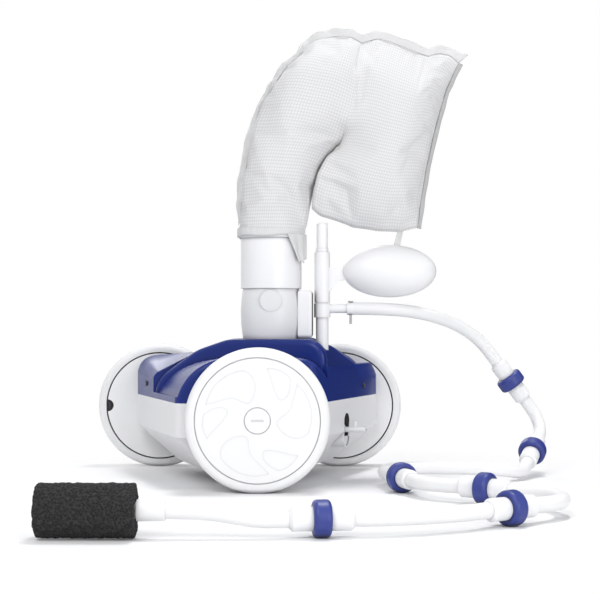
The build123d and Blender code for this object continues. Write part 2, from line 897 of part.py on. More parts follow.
with BuildPart() as shaft_bushes:
    for wall_plane, side in ((near_wall, 1), (far_wall, -1)):
        with BuildSketch(wall_plane):
            with Locations((side * shaft_x, axle_z)):
                Circle(6.5)
        extrude(amount=-wall)
        with BuildSketch(wall_plane.offset(-wall)):
            with Locations((side * shaft_x, axle_z)):
                Circle(8)
        extrude(amount=-2.5)
        with BuildSketch(wall_plane):
            with Locations((side * shaft_x, axle_z)):
                Circle(shaft_r + run_gap)
        extrude(amount=-10, mode=Mode.SUBTRACT)
save(shaft_bushes, "shaft_bushes")

# Thrust jet: a nozzle that tips up and down in an upright slot of the rear wall
jet_turn = Plane(
    origin=jet_plane.origin + jet_plane.z_dir * jet_pivot, x_dir=jet_plane.z_dir, z_dir=jet_plane.x_dir
)
jet_half = jet_w / 2 - jet_wall - 0.3
with BuildPart() as jet_housing:
    with BuildSketch(jet_plane):
        SlotOverall(jet_h, jet_w, rotation=90)
    extrude(amount=-jet_depth)
    with BuildSketch(jet_plane):
        SlotOverall(jet_h - 2 * jet_wall, jet_w - 2 * jet_wall, rotation=90)
    extrude(amount=-jet_depth + jet_wall, mode=Mode.SUBTRACT)
    with BuildSketch(jet_plane.offset(-2)):
        SlotOverall(jet_h - 2 * jet_wall, jet_w - 2 * jet_wall, rotation=90)
        with Locations((0, jet_h / 2 - 9)):
            Rectangle(jet_w, jet_h, mode=Mode.SUBTRACT)
    extrude(amount=-2)
    with BuildSketch(jet_turn):
        Circle(jet_pin_r + run_gap)
    extrude(amount=jet_half + 1.8, both=True, mode=Mode.SUBTRACT)
save(jet_housing, "jet_housing")

with BuildPart() as thrust_jet:
    with BuildSketch(jet_turn):
        Circle(7)
    extrude(amount=jet_half, both=True)
    with BuildSketch(jet_turn):
        Circle(jet_pin_r)
    extrude(amount=jet_half + 1.6, both=True)
    with BuildSketch(jet_plane.offset(jet_pivot)):
        Circle(3.6)
    extrude(amount=27 - jet_pivot)
    with BuildSketch(Plane(origin=jet_plane.origin + jet_plane.z_dir * 12, z_dir=(0, 0, 1))):
        Circle(2.2)
    extrude(amount=11)
    with BuildSketch(jet_plane.offset(jet_pivot)):
        Circle(2)
    extrude(amount=40, mode=Mode.SUBTRACT)
save(thrust_jet, "thrust_jet")

# Bag on its collar: a leg that rises from the tube and a pouch that hangs back over the float
with BuildPart() as bag_collar:
    with BuildSketch(Plane.XY.offset(tube_top)):
        with Locations((tower_x, 0)):
            Circle(collar_r)
            Circle(spigot_r + 0.2, mode=Mode.SUBTRACT)
    extrude(amount=collar_top - tube_top)
    fillet(bag_collar.edges().group_by(Axis.Z)[-1].sort_by(SortBy.LENGTH)[-1:], 1.5)
save(bag_collar, "bag_collar")

bag_wall = 2.0
mouth_z = 320.0
leg_sections = [
    (mouth_z + 14, 0, 43, 43),
    (400, 8, 54, 46),
    (470, 28, 60, 48),
    (540, 66, 66, 40),
    (606, 88, 46, 8),
]
pouch_sections = [
    (329, 152, 47, 8),
    (352, 141, 62, 28),
    (440, 149, 69, 42),
    (520, 169, 71, 38),
    (572, bag_reach - 110, 76, 20),
    (600, 162, 58, 7),
]


def sock_sections(sections, inset):
    """Oval sections of a sock of cloth, pulled in on every side by the inset."""
    ovals = []
    for level, centre, half_x, half_y in sections:
        with BuildSketch(Plane.XY.offset(level)) as oval:
            with Locations((tower_x + centre, 0)):
                Ellipse(half_x - inset, half_y - inset)
        ovals.append(oval.sketch)
    return ovals


with BuildPart() as bag_hollow:
    loft(sock_sections(leg_sections, bag_wall))
    loft(sock_sections(pouch_sections, bag_wall))
    with BuildSketch(Plane.XZ):
        with Locations((tower_x + 116, leg_sections[-1][0])):
            Rectangle(400, 2 * bag_wall)
        with Locations((tower_x + 166, pouch_sections[-1][0])):
            Rectangle(400, 2 * bag_wall)
        with Locations((tower_x + 166, pouch_sections[0][0])):
            Rectangle(200, 2 * bag_wall)
    extrude(amount=100, both=True, mode=Mode.SUBTRACT)

with BuildPart() as bag:
    loft(sock_sections(leg_sections, 0))
    loft(sock_sections(pouch_sections, 0))
    add(bag_hollow.part, mode=Mode.SUBTRACT)
    with BuildSketch(Plane.XY.offset(mouth_z)):
        with Locations((tower_x, 0)):
            Circle(collar_r + bag_wall)
    extrude(amount=14)
    with BuildSketch(Plane.XY.offset(mouth_z)):
        with Locations((tower_x, 0)):
            Circle(collar_r)
    extrude(amount=14, mode=Mode.SUBTRACT)
save(bag, "bag")

strap_x = mast_x + 104.0
with BuildPart() as bag_strap:
    with BuildSketch(Plane.XY.offset(float_z + float_b - 4)):
        with Locations((strap_x, 0)):
            Rectangle(6, 10)
    extrude(amount=28)
    add(head_float.part, mode=Mode.SUBTRACT)
    add(bag.part, mode=Mode.SUBTRACT)
    add(bag_hollow.part, mode=Mode.SUBTRACT)
save(bag_strap, "bag_strap")


def unit(x, y, z):
    size = hypot(x, y, z)
    return Vector(x / size, y / size, z / size)


# Sweep hose: six joiners with wear rings, placed by centre and heading along the hose
third_centre = Vector(158, -172, ring_r)
third_heading = unit(0.30, -0.954, 0)
fourth_heading = unit(0.80, -0.60, 0)
third_bend = third_centre + third_heading * (joiner_half + 40)
joiners = [
    (Vector(330, 83, 127), unit(0.60, 0.05, -0.80)),
    (Vector(350, 20, 34), unit(-0.35, -0.85, -0.39)),
    (third_centre, third_heading),
    (third_bend + fourth_heading * (joiner_half + 50), fourth_heading),
    (Vector(249, -462, ring_r), unit(-0.80, -0.60, 0)),
    (Vector(54, -541, ring_r), unit(-0.99, -0.12, 0)),
]
foam_y = -549.0
foam_x = -124.0
starts = [centre - heading * joiner_half for centre, heading in joiners]
ends = [centre + heading * joiner_half for centre, heading in joiners]
headings = [heading for centre, heading in joiners]
tail_start = Vector(foam_x + tail_len, foam_y, foam_r)


def lead_out(index, run):
    return ends[index] + headings[index] * run


def lead_in(index, run):
    return starts[index] - headings[index] * run


routes = [
    [
        Vector(hose_start_x, 0, nozzle_z),
        Vector(hose_start_x + 44, 0, nozzle_z),
        Vector(204, 22, 222),
        Vector(252, 58, 207),
        lead_in(0, 40),
        starts[0],
    ],
    [ends[0], lead_out(0, 27), lead_in(1, 27), starts[1]],
    [
        ends[1],
        lead_out(1, 30),
        Vector(300, -56, 16),
        Vector(242, -54, ring_r),
        Vector(178, -52, ring_r),
        Vector(149, -73, ring_r),
        lead_in(2, 36),
        starts[2],
    ],
    [ends[2], third_bend, starts[3]],
    [ends[3], lead_out(3, 43), Vector(319, -376, ring_r), lead_in(4, 43), starts[4]],
    [ends[4], lead_out(4, 46), lead_in(5, 42), starts[5]],
    [
        ends[5],
        lead_out(5, 30),
        Vector(-24, -549, ring_r + 3),
        Vector(-62, foam_y, foam_r),
        tail_start,
    ],
]


def corner_radii(points):
    """Largest round corners the runs of a route allow."""
    radii = []
    for before, corner, after in zip(points, points[1:], points[2:]):
        run_in = corner - before
        run_out = after - corner
        turn = radians(run_in.get_angle(run_out))
        radii.append(0.45 * min(run_in.length, run_out.length) / tan(turn / 2))
    return radii


for number, route in enumerate(routes, start=1):
    with BuildPart() as hose:
        with BuildLine() as path:
            FilletPolyline(*route, radius=corner_radii(route))
        start_dir = (route[1] - route[0]).normalized()
        with BuildSketch(Plane(origin=route[0], z_dir=start_dir)):
            Circle(hose_r)
            Circle(hose_bore, mode=Mode.SUBTRACT)
        sweep(path=path.wires()[0])
    save(hose, f"hose_{number}")

for number, (centre, heading) in enumerate(joiners, start=1):
    joiner_plane = Plane(origin=centre, z_dir=heading)
    with BuildPart() as joiner:
        with BuildSketch(joiner_plane):
            Circle(joiner_r)
            Circle(hose_bore, mode=Mode.SUBTRACT)
        extrude(amount=joiner_half, both=True)
        rims = joiner.edges().filter_by(GeomType.CIRCLE).filter_by(lambda e: e.radius > joiner_r - 0.1)
        chamfer(rims, length=3.0)
    save(joiner, f"hose_joiner_{number}")

with BuildPart() as wear_rings:
    for centre, heading in joiners:
        ring_plane = Plane(origin=centre, z_dir=heading)
        with BuildSketch(section(ring_plane)) as ring_cut:
            with Locations(((joiner_r + ring_r) / 2, 0)):
                Rectangle(ring_r - joiner_r, ring_w)
            fillet(ring_cut.vertices().sort_by(Axis.X)[-2:], 4.5)
        revolve(axis=spin_axis(ring_plane))
save(wear_rings, "wear_rings")

tail_plane = Plane(origin=tail_start, z_dir=(-1, 0, 0))
with BuildPart() as tail_cuff:
    with BuildSketch(tail_plane):
        Circle(tail_r)
    extrude(amount=tail_len)
    chamfer(tail_cuff.edges().sort_by(Axis.X)[-1:], length=1.5)
    with BuildSketch(tail_plane.offset(tail_len)):
        Circle(tail_core_r)
    extrude(amount=foam_len - 12)
    with BuildSketch(tail_plane):
        Circle(hose_bore)
    extrude(amount=tail_len + foam_len, mode=Mode.SUBTRACT)
save(tail_cuff, "tail_cuff")

with BuildPart() as foam_scrubber:
    with BuildSketch(tail_plane.offset(tail_len)):
        Circle(foam_r)
    extrude(amount=foam_len)
    fillet(foam_scrubber.edges(), 3)
    with BuildSketch(tail_plane.offset(tail_len)):
        Circle(tail_core_r)
    extrude(amount=foam_len - 12, mode=Mode.SUBTRACT)
    with BuildSketch(tail_plane.offset(tail_len)):
        Circle(hose_bore)
    extrude(amount=foam_len, mode=Mode.SUBTRACT)
save(foam_scrubber, "foam_scrubber")
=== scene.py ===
# %% [markdown]
# A pool cleaner on three wheels. It rides on a grey-white tub under a deep blue moulded cover,
# and a white tower in its middle sucks leaves up into a mesh bag. A mast brings the water in,
# a float keeps the machine upright, and a sweep hose trails behind with a black foam scrubber.
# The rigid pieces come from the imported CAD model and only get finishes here. The soft ones,
# which are the bag, its strap, the hose and the foam, are made in this file.

# %% Load the frame
import math

import bpy
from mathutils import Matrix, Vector
from mathutils import noise

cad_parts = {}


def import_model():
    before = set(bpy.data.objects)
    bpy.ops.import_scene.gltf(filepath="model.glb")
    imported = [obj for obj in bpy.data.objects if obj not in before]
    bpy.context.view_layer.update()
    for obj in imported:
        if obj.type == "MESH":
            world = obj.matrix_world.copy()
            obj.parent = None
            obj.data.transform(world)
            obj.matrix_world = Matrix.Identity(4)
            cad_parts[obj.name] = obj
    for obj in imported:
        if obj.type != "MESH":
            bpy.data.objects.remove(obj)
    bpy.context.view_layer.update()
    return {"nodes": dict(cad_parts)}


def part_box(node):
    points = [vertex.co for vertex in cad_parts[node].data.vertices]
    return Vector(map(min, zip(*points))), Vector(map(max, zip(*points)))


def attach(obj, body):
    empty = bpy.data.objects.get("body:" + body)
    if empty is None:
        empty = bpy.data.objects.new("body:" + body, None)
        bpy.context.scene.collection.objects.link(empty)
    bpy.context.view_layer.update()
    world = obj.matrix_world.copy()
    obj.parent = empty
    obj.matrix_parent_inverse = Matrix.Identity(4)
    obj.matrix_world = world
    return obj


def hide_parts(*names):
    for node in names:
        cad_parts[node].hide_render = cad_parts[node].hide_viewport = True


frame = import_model()
nodes = frame["nodes"]

# %% [markdown]
# The photograph is taken from the side, a little over floor height, with a long lens. The tyres
# give the scale: they are 178 mm across, and their image sets how far away the camera stands.
# It looks along +Y and is tipped up by one degree, which puts the horizon below the middle.

# %% Camera
camera_place = (0.033, -1.916, 0.2065)
camera_tilt = math.radians(90.99)
bpy.ops.object.camera_add(location=camera_place, rotation=(camera_tilt, 0, 0))
camera = bpy.context.object
camera.name = "camera"
camera.data.lens = 85
camera.data.sensor_width = 36
camera.data.clip_end = 40
scene = bpy.context.scene
scene.camera = camera
scene.view_settings.view_transform = "Standard"
print("camera at", tuple(round(v, 3) for v in camera.location))


# %% [markdown]
# Every operator works on what is selected, so one helper picks a single piece. Two more make
# a flat grid to be shaped and give a sheet its thickness, as all the cloth below needs both.

# %% Helpers for pieces
def pick(piece):
    if bpy.context.object and bpy.context.object.mode != "OBJECT":
        bpy.ops.object.mode_set(mode="OBJECT")
    bpy.ops.object.select_all(action="DESELECT")
    piece.select_set(True)
    bpy.context.view_layer.objects.active = piece


def new_grid(name, columns, rows):
    bpy.ops.mesh.primitive_grid_add(x_subdivisions=columns, y_subdivisions=rows, size=1)
    grid = bpy.context.object
    grid.name = name
    return grid


def give_wall(piece, thickness, offset):
    wall = piece.modifiers.new("wall", "SOLIDIFY")
    wall.thickness = thickness
    wall.offset = offset
    bpy.ops.object.modifier_apply(modifier="wall")


# %% [markdown]
# Every finish begins with a material's nodes, links and shader, so one helper hands these back.
# The next two make nodes that calculate: a single step, and a change from one range to another.

# %% Helpers for materials
def start_material(name):
    material = bpy.data.materials.new(name)
    material.use_nodes = True
    tree = material.node_tree
    return material, tree.nodes, tree.links, tree.nodes["Principled BSDF"]


def add_step(parts, kind, operation):
    step = parts.new(kind)
    step.operation = operation
    return step


def add_range(parts, start, end, low, high, interpolation="LINEAR"):
    """A node that turns values from start to end into values from low to high."""
    change = parts.new("ShaderNodeMapRange")
    change.interpolation_type = interpolation
    for label, value in (("From Min", start), ("From Max", end), ("To Min", low), ("To Max", high)):
        change.inputs[label].default_value = value
    return change


# %% [markdown]
# Floor and surround are plain white for the camera, for mirrors and for glass, so that the
# picture has no visible horizon. A photographer keeps a dark plastic dark on one side with a
# black curtain, so reflections find one behind the machine on the right. It dims the white of
# the far floor and of the surround, and the camera itself never sees it.

# %% White for the eye, and a curtain for reflections
curtain_heading = (0.66, 0.74, 0.12)
curtain_edge = 0.62
curtain_core = 0.86
curtain_dark = 0.04


def seen_directly(parts, wires, path):
    """One for rays of the camera, of mirrors and of glass, and zero for all others."""
    mirror = add_step(parts, "ShaderNodeMath", "MAXIMUM")
    either = add_step(parts, "ShaderNodeMath", "MAXIMUM")
    wires.new(path.outputs["Is Camera Ray"], mirror.inputs[0])
    wires.new(path.outputs["Is Glossy Ray"], mirror.inputs[1])
    wires.new(mirror.outputs["Value"], either.inputs[0])
    wires.new(path.outputs["Is Transmission Ray"], either.inputs[1])
    return either.outputs["Value"]


def hang_curtain(parts, wires, looking, path, strength):
    """Dims a white glow towards the curtain, for every ray but the camera's."""
    side = add_step(parts, "ShaderNodeVectorMath", "DOT_PRODUCT")
    side.inputs[1].default_value = curtain_heading
    fade = add_range(parts, curtain_edge, curtain_core, 1, curtain_dark, "SMOOTHSTEP")
    level = add_step(parts, "ShaderNodeMath", "MAXIMUM")
    wires.new(looking, side.inputs[0])
    wires.new(side.outputs["Value"], fade.inputs["Value"])
    wires.new(fade.outputs["Result"], level.inputs[0])
    wires.new(path.outputs["Is Camera Ray"], level.inputs[1])
    wires.new(level.outputs["Value"], strength)


# %% [markdown]
# The floor is a plain pale sheet. Near the machine it is an ordinary matt surface, so it keeps
# the soft shadow under the wheels and the hose. Further out it fades to plain white.

# %% Floor
floor_middle = (0.06, -0.25, 0)
shadow_reach = 0.30
white_reach = 0.75
bpy.ops.mesh.primitive_plane_add(size=14, location=(0, 0, 0))
floor = bpy.context.object
floor.name = "floor"
floor_paint, paint_nodes, paint_links, paint_shader = start_material("floor_paint")
paint_shader.inputs["Base Color"].default_value = (0.86, 0.86, 0.865, 1)
paint_shader.inputs["Roughness"].default_value = 0.85
paint_shader.inputs["Specular IOR Level"].default_value = 0.1
floor_place = paint_nodes.new("ShaderNodeTexCoord")
floor_offset = add_step(paint_nodes, "ShaderNodeVectorMath", "SUBTRACT")
floor_offset.inputs[1].default_value = floor_middle
floor_reach = add_step(paint_nodes, "ShaderNodeVectorMath", "LENGTH")
floor_fade = add_range(paint_nodes, shadow_reach, white_reach, 0, 1, "SMOOTHSTEP")
floor_heading = add_step(paint_nodes, "ShaderNodeVectorMath", "NORMALIZE")
light_path = paint_nodes.new("ShaderNodeLightPath")
seen_fade = add_step(paint_nodes, "ShaderNodeMath", "MULTIPLY")
white_glow = paint_nodes.new("ShaderNodeEmission")
white_glow.inputs["Color"].default_value = (1, 1, 1, 1)
floor_mix = paint_nodes.new("ShaderNodeMixShader")
paint_links.new(floor_place.outputs["Object"], floor_offset.inputs[0])
paint_links.new(floor_offset.outputs["Vector"], floor_reach.inputs[0])
paint_links.new(floor_reach.outputs["Value"], floor_fade.inputs["Value"])
paint_links.new(floor_fade.outputs["Result"], seen_fade.inputs[0])
paint_links.new(seen_directly(paint_nodes, paint_links, light_path), seen_fade.inputs[1])
paint_links.new(floor_place.outputs["Object"], floor_heading.inputs[0])
floor_looking = floor_heading.outputs["Vector"]
hang_curtain(paint_nodes, paint_links, floor_looking, light_path, white_glow.inputs["Strength"])
paint_links.new(seen_fade.outputs["Value"], floor_mix.inputs["Fac"])
paint_links.new(paint_shader.outputs["BSDF"], floor_mix.inputs[1])
paint_links.new(white_glow.outputs["Emission"], floor_mix.inputs[2])
paint_links.new(floor_mix.outputs["Shader"], paint_nodes["Material Output"].inputs["Surface"])
floor.data.materials.append(floor_paint)
print("floor laid")

# %% [markdown]
# The light is that of a product shot: a large soft lamp above and to the left, one straight
# above that sets the shadows under the wheels, a low one on the right that keeps the rear
# bright, a faint one behind for the far side, and an even white surround. The surround is
# dimmer where it only lights the pieces.

# %% World and lamps
world = bpy.data.worlds.new("studio")
scene.world = world
world.use_nodes = True
sky_nodes = world.node_tree.nodes
sky_links = world.node_tree.links
sky_fill = sky_nodes["Background"]
sky_fill.inputs["Color"].default_value = (0.95, 0.97, 1, 1)
sky_fill.inputs["Strength"].default_value = 0.43
sky_white = sky_nodes.new("ShaderNodeBackground")
sky_white.inputs["Color"].default_value = (1, 1, 1, 1)
sky_path = sky_nodes.new("ShaderNodeLightPath")
sky_place = sky_nodes.new("ShaderNodeTexCoord")
sky_mix = sky_nodes.new("ShaderNodeMixShader")
hang_curtain(sky_nodes, sky_links, sky_place.outputs["Generated"], sky_path, sky_white.inputs["Strength"])
sky_links.new(seen_directly(sky_nodes, sky_links, sky_path), sky_mix.inputs["Fac"])
sky_links.new(sky_fill.outputs["Background"], sky_mix.inputs[1])
sky_links.new(sky_white.outputs["Background"], sky_mix.inputs[2])
sky_links.new(sky_mix.outputs["Shader"], sky_nodes["World Output"].inputs["Surface"])


def add_lamp(name, place, target, size, watts):
    bpy.ops.object.light_add(type="AREA", location=place)
    lamp = bpy.context.object
    lamp.name = name
    lamp.data.shape = "DISK"
    lamp.data.size = size
    lamp.data.energy = watts
    aim = Vector(target) - Vector(place)
    lamp.rotation_euler = aim.to_track_quat("-Z", "Y").to_euler()


add_lamp("key_lamp", (-0.7, -2.0, 1.7), (0.05, -0.1, 0.2), 1.4, 25)
add_lamp("top_lamp", (0.6, 0.5, 4.0), (0.05, -0.05, 0.2), 1.0, 72)
add_lamp("side_lamp", (1.2, -2.0, 0.7), (0.05, -0.05, 0.2), 1.4, 16)
add_lamp("back_lamp", (-0.5, 2.2, 1.5), (0.05, 0.05, 0.25), 1.4, 12)

# %% [markdown]
# The sweep hose is a real cord: about a metre and a half of soft white tube. It leaves the
# nozzle at the mast, drops to the floor behind the machine, and lies there in one long S to the
# foam scrubber. Its line is a single smooth curve through the points of the CAD route. The
# joiners grip it in straight sleeves, so each sleeve gives two points in line with its heading.
# The bevel is one metre deep, and the radius of each point scales it down to that of the hose.

# %% Sweep hose
joiner_half = 0.032
ring_z = 0.0186
nozzle_end = Vector((0.106, 0, 0.228))


def heading(x, y, z):
    return Vector((x, y, z)).normalized()


third_heading = heading(0.30, -0.954, 0)
fourth_heading = heading(0.80, -0.60, 0)
third_sleeve = Vector((0.158, -0.172, ring_z))
third_bend = third_sleeve + third_heading * (joiner_half + 0.040)
sleeves = [
    (Vector((0.330, 0.083, 0.127)), heading(0.60, 0.05, -0.80)),
    (Vector((0.350, 0.020, 0.034)), heading(-0.35, -0.85, -0.39)),
    (third_sleeve, third_heading),
    (third_bend + fourth_heading * (joiner_half + 0.050), fourth_heading),
    (Vector((0.249, -0.462, ring_z)), heading(-0.80, -0.60, 0)),
    (Vector((0.054, -0.541, ring_z)), heading(-0.99, -0.12, 0)),
]


def before(number, run):
    centre, along = sleeves[number]
    return centre - along * (joiner_half + run)


def after(number, run):
    centre, along = sleeves[number]
    return centre + along * (joiner_half + run)


foam_y = -0.549
foam_face_x = -0.124
tail_length = 0.028
foam_radius = 0.0276
hose_points = [
    nozzle_end,
    Vector((0.150, 0, 0.228)),
    Vector((0.204, 0.022, 0.222)),
    Vector((0.252, 0.058, 0.207)),
    before(0, 0.040),
    before(0, 0),
    after(0, 0),
    after(0, 0.027),
    before(1, 0.027),
    before(1, 0),
    after(1, 0),
    after(1, 0.030),
    Vector((0.300, -0.056, 0.016)),
    Vector((0.242, -0.054, ring_z)),
    Vector((0.178, -0.052, ring_z)),
    Vector((0.149, -0.073, ring_z)),
    before(2, 0.036),
    before(2, 0),
    after(2, 0),
    third_bend,
    before(3, 0),
    after(3, 0),
    after(3, 0.043),
    Vector((0.319, -0.376, ring_z)),
    before(4, 0.043),
    before(4, 0),
    after(4, 0),
    after(4, 0.046),
    before(5, 0.042),
    before(5, 0),
    after(5, 0),
    after(5, 0.030),
    Vector((-0.024, foam_y, 0.0216)),
    Vector((-0.062, foam_y, foam_radius)),
    Vector((foam_face_x + tail_length, foam_y, foam_radius)),
]
hose_line = bpy.data.curves.new("sweep_hose", "CURVE")
hose_line.dimensions = "3D"
hose_line.resolution_u = 10
hose_radius = 0.0085
hose_line.bevel_depth = 1
hose_line.bevel_resolution = 6
hose_spline = hose_line.splines.new("NURBS")
hose_spline.points.add(len(hose_points) - 1)
for spline_point, place in zip(hose_spline.points, hose_points):
    spline_point.co = (place.x, place.y, place.z, 1)
    spline_point.radius = hose_radius
hose_spline.order_u = 3
hose_spline.use_endpoint_u = True
sweep_hose = bpy.data.objects.new("sweep_hose", hose_line)
bpy.context.collection.objects.link(sweep_hose)
hose_nodes = [f"hose_{number}" for number in range(1, 8)]
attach(sweep_hose, "chassis")
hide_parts(*hose_nodes)
print("hose length", round(hose_spline.calc_length(), 3))

# %% [markdown]
# The scrubber at the hose's end is a fat sleeve of black open-cell foam, pushed over the tail
# cuff. A cylinder is the start. Its ends are inset and pulled in a little, where the cuff goes
# in, its rims are rounded, and a fine cloud texture pushes the skin in and out as pores do.

# %% Foam scrubber
foam_length = 0.098
bpy.ops.mesh.primitive_cylinder_add(vertices=72, radius=foam_radius - 0.0012, depth=foam_length - 0.002)
foam_sleeve = bpy.context.object
foam_sleeve.name = "foam_sleeve"
bpy.ops.object.mode_set(mode="EDIT")
bpy.ops.mesh.select_mode(type="FACE")
bpy.ops.mesh.select_all(action="DESELECT")
bpy.ops.object.mode_set(mode="OBJECT")
for face in foam_sleeve.data.polygons:
    face.select = abs(face.normal.z) > 0.9
bpy.ops.object.mode_set(mode="EDIT")
bpy.ops.mesh.inset(thickness=0.003, depth=0.0)
bpy.ops.mesh.inset(thickness=0.0135, depth=0.0)
bpy.ops.mesh.inset(thickness=0.002, depth=-0.004)
bpy.ops.object.mode_set(mode="OBJECT")
rim = foam_sleeve.modifiers.new("rim", "BEVEL")
rim.width = 0.003
rim.segments = 3
rim.limit_method = "ANGLE"
bpy.ops.object.modifier_apply(modifier="rim")
pores_mesh = foam_sleeve.modifiers.new("pores_mesh", "REMESH")
pores_mesh.mode = "VOXEL"
pores_mesh.voxel_size = 0.0010
bpy.ops.object.modifier_apply(modifier="pores_mesh")
pore_cloud = bpy.data.textures.new("pore_cloud", "VORONOI")
pore_cloud.noise_scale = 0.0042
pore_cloud.noise_intensity = 1.2
pores = foam_sleeve.modifiers.new("pores", "DISPLACE")
pores.texture = pore_cloud
pores.texture_coords = "LOCAL"
pores.strength = 0.0016
pores.mid_level = 0.75
bpy.ops.object.modifier_apply(modifier="pores")
bpy.ops.object.shade_smooth()
foam_sleeve.rotation_euler = (0, math.radians(90), 0)
foam_sleeve.location = (foam_face_x - foam_length / 2, foam_y, foam_radius)
bpy.ops.object.transform_apply(location=True, rotation=True, scale=True)
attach(foam_sleeve, "chassis")
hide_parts("foam_scrubber")
print("foam faces", len(foam_sleeve.data.polygons))

# %% [markdown]
# The filter bag is a long sock of white mesh, folded over at its top. Its first half, the leg,
# rises from the collar; its second half, the pouch, hangs back beside it over the float. Both
# are sewn from a near and a far panel, so four grids are shaped here, one for each panel. Each
# row of a grid runs from one seam to the other, and a point's depth swells between the seams.

# %% Outlines of the bag
leg_seam = [
    (-49.5, 322), (-48.5, 345), (-45, 373), (-43.5, 399), (-38, 428), (-30, 466),
    (-17, 502), (-2, 531), (15, 555), (33, 571), (46, 584), (60, 592),
]
leg_slit = [(37.5, 322), (42, 345), (47, 366), (54, 392), (63, 416), (73, 434), (86, 449)]
pouch_slit = [(48, 362), (51, 385), (57, 409), (68, 431), (86, 449)]
fold_line = [(86, 449), (94, 470), (100, 492), (105, 520), (110, 552), (113, 573), (117, 588)]
leg_top = [(60, 592), (80, 597), (103, 596), (117, 588)]
pouch_top = [(117, 588), (138, 594), (157, 589), (181, 579), (207, 570), (222, 574), (236, 571), (249, 561)]
pouch_edge = [(192, 337), (196, 368), (203, 411), (215, 467), (231, 523), (241, 545), (249, 561)]
pouch_foot = [(48, 362), (62, 352), (80, 347), (106, 339), (139, 334), (168, 332), (192, 337)]


def walk(line, share):
    """The point at a share of a line's length, in mm."""
    lengths = [math.dist(a, b) for a, b in zip(line, line[1:])]
    left = max(0.0, min(1.0, share)) * sum(lengths)
    for start, end, size in zip(line, line[1:], lengths):
        if left <= size:
            part = left / size
            return (start[0] + (end[0] - start[0]) * part, start[1] + (end[1] - start[1]) * part)
        left -= size
    return line[-1]


def ease(value, low, high):
    """Goes smoothly from 0 at low to 1 at high."""
    part = max(0.0, min(1.0, (value - low) / (high - low)))
    return part * part * (3 - 2 * part)


print("leg seam points", len(leg_seam), "pouch points", len(pouch_top) + len(pouch_foot))

# %% Shape of the leg and the pouch
upper_rows = 32
leg_rows = 28
pouch_rows = 22
leg_columns = 26
pouch_columns = 36
leg_half = 43.5
pouch_half = 43
valley_half = 35
slit_half = 8


def fold_depth(height):
    """Half depth of the cloth in the valley between leg and pouch, in mm, closed at the top seam."""
    narrowing = ease(height, 470, fold_line[-1][1]) ** 1.4
    return valley_half * ease(height, 447, 490) * math.sqrt(max(0.0, 1 - narrowing))


def valley_depth(swell, edge, height, side):
    """Depth beside the slit or the valley: a closed round edge low down, a soft dip higher up."""
    closed = math.sqrt(max(0.0, swell ** 2 + (edge ** 2 - swell ** 2) * side ** 2.2))
    soft = edge + (swell - edge) * (0.5 + 0.5 * math.cos(math.pi * side))
    softness = ease(height, 452, 500)
    return closed + (soft - closed) * softness


def slit_shift(height, side):
    """How far the two edges of the slit stand apart in depth, the pouch in front of the leg."""
    return slit_half * side ** 3 * (1 - ease(height, 428, 449))


def patch_point(left, right, foot, top, across, up):
    """A point of a four-sided patch, from its four border lines."""
    west, east = left(up), right(up)
    south, north = foot(across), top(across)
    corners = (
        (left(0), (1 - across) * (1 - up)),
        (right(0), across * (1 - up)),
        (left(1), (1 - across) * up),
        (right(1), across * up),
    )
    return tuple(
        (1 - up) * south[axis]
        + up * north[axis]
        + (1 - across) * west[axis]
        + across * east[axis]
        - sum(place[axis] * weight for place, weight in corners)
        for axis in (0, 1)
    )


def split_walk(lower, lower_rows, share):
    """Walks the slit and then the fold, so that both halves of the bag share the fold's points."""
    rows = lower_rows + upper_rows
    row = share * rows
    if row <= lower_rows:
        return walk(lower, row / lower_rows)
    return walk(fold_line, (row - lower_rows) / upper_rows)


def leg_point(across, up):
    x, z = patch_point(
        lambda share: walk(leg_seam, share),
        lambda share: split_walk(leg_slit, leg_rows, share),
        lambda share: walk([leg_seam[0], leg_slit[0]], share),
        lambda share: walk(leg_top, share),
        across,
        up,
    )
    swell = leg_half + 3.0 * ease(up, 0.08, 0.4)
    swell *= math.sqrt(max(0.0, 1 - ease(up, 0.60, 1.0) ** 2))
    side = 2 * across - 1
    if side < 0:
        return x, z, swell * math.sqrt(max(0.0, 1 - side * side)), 0
    height = split_walk(leg_slit, leg_rows, up)[1]
    depth = valley_depth(swell, fold_depth(height), height, side)
    crease = 6 * math.exp(-(((z - 458 + 0.15 * (x - 60)) / 8) ** 2) - ((x - 66) / 20) ** 2)
    shift = slit_shift(height, side) * ease(up, 0.02, 0.14)
    return x, z, max(0.0, depth - min(crease, 0.3 * depth)), shift


def pouch_point(across, up):
    x, z = patch_point(
        lambda share: split_walk(pouch_slit, pouch_rows, share),
        lambda share: walk(pouch_edge, share),
        lambda share: walk(pouch_foot, share),
        lambda share: walk(pouch_top, share),
        across,
        up,
    )
    swell = pouch_half * (1 - (1 - min(1.0, up / 0.42)) ** 2.2) ** 0.5
    swell *= math.sqrt(max(0.0, 1 - ease(up, 0.50, 1.0) ** 1.6))
    side = 2 * across - 1
    if side > 0:
        return x, z, swell * max(0.0, 1 - side ** 2.6) ** 0.5, 0
    height = split_walk(pouch_slit, pouch_rows, up)[1]
    depth = valley_depth(swell, fold_depth(height), height, -side)
    return x, z, depth, -slit_shift(height, -side)


print("leg middle", [round(v, 1) for v in leg_point(0.5, 0.5)])

# %% Sew the four panels
seam_depth = 0.4
cuff_top = 336
weld_gap = 0.0004


